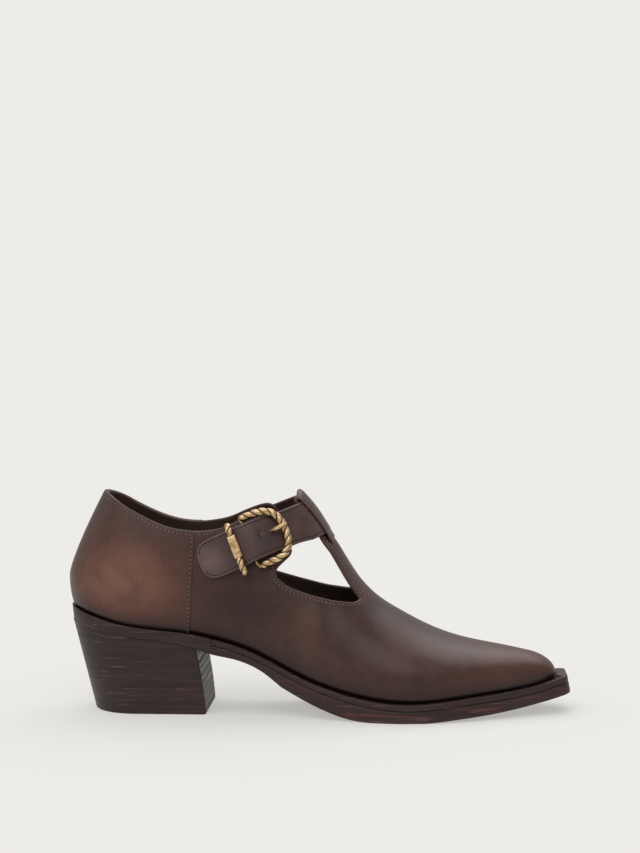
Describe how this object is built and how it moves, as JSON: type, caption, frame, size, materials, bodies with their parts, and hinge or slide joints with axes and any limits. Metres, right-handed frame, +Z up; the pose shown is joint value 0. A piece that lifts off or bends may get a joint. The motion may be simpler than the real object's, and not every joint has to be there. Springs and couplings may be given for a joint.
{
  "type": "western t-strap shoe",
  "caption": "Western shoe with a squared pointed toe, block heel, open side windows, T-bar loop and a buckled ankle strap with a cord-twist frame.",
  "frame": {"origin": "middle of the base, on the floor under the middle of the shoe's bounding box", "axes": "+X from heel to toe, +Y from the outer (buckle) side to the inner side, +Z up"},
  "size_m": [0.282, 0.09, 0.1231],
  "materials": {
    "upper": "smooth dark brown burnished leather, reddish at counter and toe",
    "ankle_strap": "dark grey-brown leather, stitched along both edges",
    "buckle_tab": "dark brown leather",
    "outsole": "dark brown leather edge with reddish streaks",
    "welt": "very dark brown leather strip",
    "heel": "stacked dark brown leather, waxed",
    "insole": "near-black brown leather board",
    "buckle_frame": "aged pale brass, cord twist",
    "buckle_prong": "aged pale brass",
    "buckle_keeper": "aged pale brass"
  },
  "bodies": {
    "root": {"upper": "upper", "ankle_strap": "ankle_strap", "buckle_tab": "buckle_tab", "outsole": "outsole", "welt": "welt", "heel": "heel", "insole": "insole", "buckle_frame": "buckle_frame", "buckle_prong": "buckle_prong", "buckle_keeper": "buckle_keeper"}
  },
  "joints": []
}
